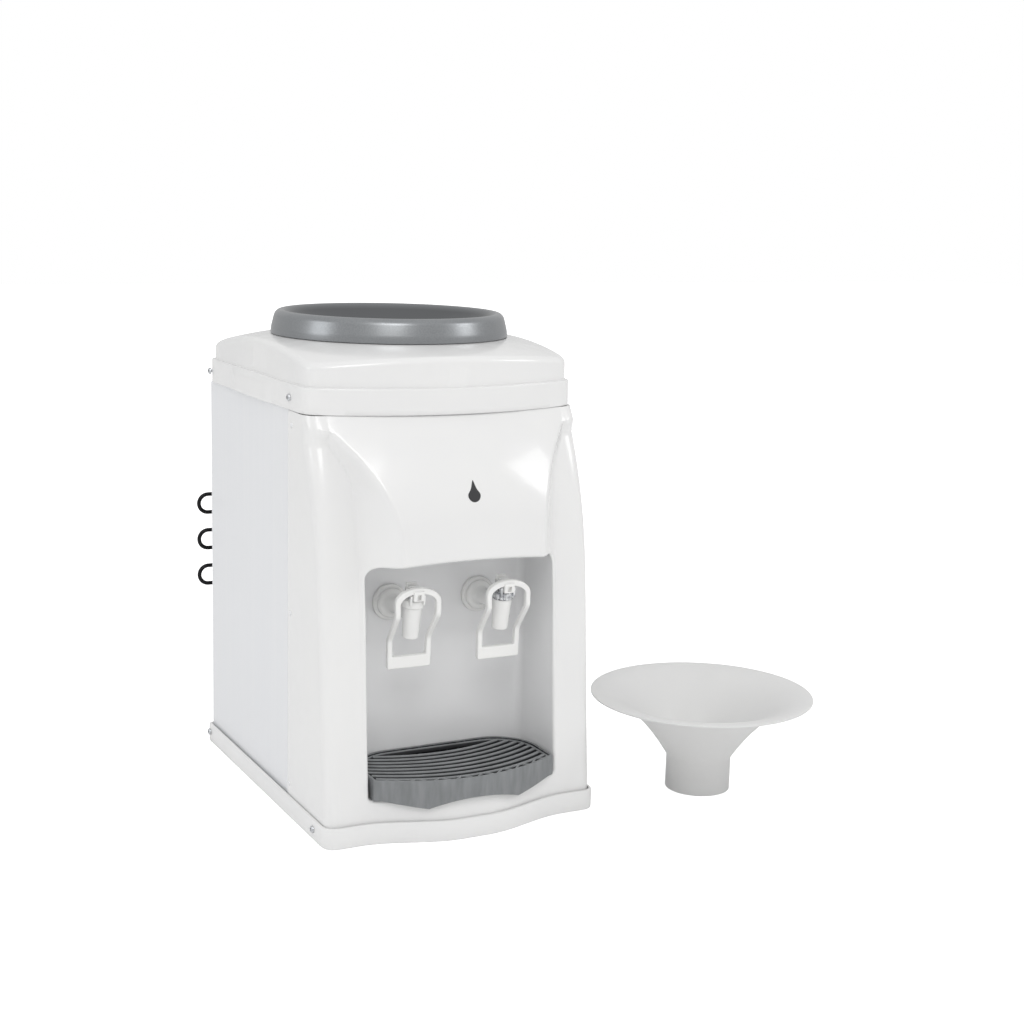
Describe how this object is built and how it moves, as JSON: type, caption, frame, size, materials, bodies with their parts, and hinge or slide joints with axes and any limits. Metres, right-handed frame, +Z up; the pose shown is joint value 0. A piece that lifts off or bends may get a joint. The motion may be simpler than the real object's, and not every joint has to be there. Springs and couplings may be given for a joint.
{
  "type": "countertop water dispenser",
  "caption": "Countertop bottled-water cooler with a top collar, lever taps in a front recess, a drip tray, a rear condenser and a loose bottle funnel.",
  "frame": {"origin": "middle of the base's underside, straight below the bottle collar's axis; the rubber feet are level with it", "axes": "+Z up, -Y towards the taps, +X to the right as seen from the front, towards the loose funnel"},
  "size_m": [0.5897, 0.5338, 0.5308],
  "materials": {
    "white_gloss_plastic": "glossy white ABS",
    "grey_liner_plastic": "glossy light grey polystyrene",
    "silver_grey_plastic": "metallic grey pigmented plastic, semi-gloss",
    "grey_plastic": "matte mid-grey polypropylene",
    "painted_steel": "cool white powder-coated sheet",
    "milky_polypropylene": "translucent milky polypropylene",
    "spike_plastic": "warm grey plastic",
    "tank_polypropylene": "natural white polypropylene",
    "foam": "expanded polystyrene",
    "copper_tube": "drawn copper tube",
    "black_enamel": "black baked enamel",
    "black_plastic": "black moulded plastic",
    "tap_plastic": "white moulded plastic",
    "chrome_trim": "chrome-plated plastic",
    "zinc_steel": "bright zinc-plated steel",
    "silicone": "food-grade silicone",
    "dark_rubber": "dark grey rubber"
  },
  "bodies": {
    "housing": {"front_panel": "white_gloss_plastic", "top_cover": "white_gloss_plastic", "base_tray": "white_gloss_plastic", "recess_liner": "grey_liner_plastic", "bottle_collar": "silver_grey_plastic", "rear_panel": "painted_steel", "water_tank": "tank_polypropylene", "tank_insulation": "foam", "evaporator_coil": "copper_tube", "suction_pipe": "copper_tube", "discharge_pipe": "copper_tube", "filter_drier": "copper_tube", "compressor": "black_enamel", "condenser": "black_enamel", "thermostat": "black_plastic", "cord_gland": "black_plastic", "left_side_panel": "painted_steel", "left_tap_body": "tap_plastic", "left_tap_bonnet": "tap_plastic", "left_tap_nut": "tap_plastic", "left_tap_pin": "zinc_steel", "left_hose": "silicone", "left_rear_cover_screw": "zinc_steel", "left_rear_base_screw": "zinc_steel", "left_front_cover_screw": "zinc_steel", "left_front_base_screw": "zinc_steel", "left_top_rivet": "painted_steel", "left_middle_rivet": "painted_steel", "left_low_rivet": "painted_steel", "right_side_panel": "painted_steel", "right_tap_body": "tap_plastic", "right_tap_bonnet": "chrome_trim", "right_tap_nut": "tap_plastic", "right_tap_pin": "zinc_steel", "right_hose": "silicone", "right_rear_cover_screw": "zinc_steel", "right_rear_base_screw": "zinc_steel", "right_front_cover_screw": "zinc_steel", "right_front_base_screw": "zinc_steel", "right_top_rivet": "painted_steel", "right_middle_rivet": "painted_steel", "right_low_rivet": "painted_steel", "foot_front_left": "dark_rubber", "foot_front_right": "dark_rubber", "foot_rear_left": "dark_rubber", "foot_rear_right": "dark_rubber", "left_tap_spring": "zinc_steel", "right_tap_spring": "zinc_steel"},
    "left_lever": {"left_tap_lever": "tap_plastic"},
    "left_plunger": {"left_tap_stem": "tap_plastic", "left_tap_seal": "silicone"},
    "right_lever": {"right_tap_lever": "tap_plastic"},
    "right_plunger": {"right_tap_stem": "tap_plastic", "right_tap_seal": "silicone"},
    "drip_tray": {"drip_tray": "grey_plastic"},
    "drip_grille": {"drip_grille": "grey_plastic"},
    "bottle_funnel": {"bottle_funnel": "milky_polypropylene", "funnel_spike": "spike_plastic"},
    "tank_baffle": {"tank_baffle": "tank_polypropylene"},
    "thermostat_knob": {"thermostat_knob": "black_plastic"}
  },
  "joints": [
    {"name": "left_lever_hinge", "type": "hinge", "parent": "housing", "child": "left_lever", "pos_m": [-0.052, -0.20108, 0.25319], "axis": [1, 0, 0], "range_deg": [0, 18], "stiffness_Nm_per_rad": 0.4, "springref_deg": -5.73},
    {"name": "left_plunger_slide", "type": "slide", "parent": "housing", "child": "left_plunger", "axis": [0, -0.1392, 0.9903], "range_m": [0, 0.0032], "deforming": ["left_tap_spring"]},
    {"name": "right_lever_hinge", "type": "hinge", "parent": "housing", "child": "right_lever", "pos_m": [0.052, -0.20108, 0.25319], "axis": [1, 0, 0], "range_deg": [0, 18], "stiffness_Nm_per_rad": 0.4, "springref_deg": -5.73},
    {"name": "right_plunger_slide", "type": "slide", "parent": "housing", "child": "right_plunger", "axis": [0, -0.1392, 0.9903], "range_m": [0, 0.0032], "deforming": ["right_tap_spring"]},
    {"name": "drip_tray_slide", "type": "slide", "parent": "housing", "child": "drip_tray", "axis": [0, -1, 0], "range_m": [0, 0.14]},
    {"name": "drip_grille_lift", "type": "slide", "parent": "drip_tray", "child": "drip_grille", "axis": [0, 0, 1], "range_m": [0, 0.06]},
    {"name": "bottle_funnel_lift", "type": "slide", "parent": "housing", "child": "bottle_funnel", "axis": [0, 0, 1], "range_m": [0, 0.15]},
    {"name": "tank_baffle_lift", "type": "slide", "parent": "housing", "child": "tank_baffle", "axis": [0, 0, 1], "range_m": [0, 0.15]},
    {"name": "thermostat_turn", "type": "hinge", "parent": "housing", "child": "thermostat_knob", "pos_m": [-0.1, 0.1775, 0.365], "axis": [0, 1, 0], "range_deg": [0, 270]}
  ],
  "couplings": [
    {"joint": "left_plunger_slide", "follows": "left_lever_hinge", "m_per_rad": 0.009836},
    {"joint": "right_plunger_slide", "follows": "right_lever_hinge", "m_per_rad": 0.009836}
  ]
}
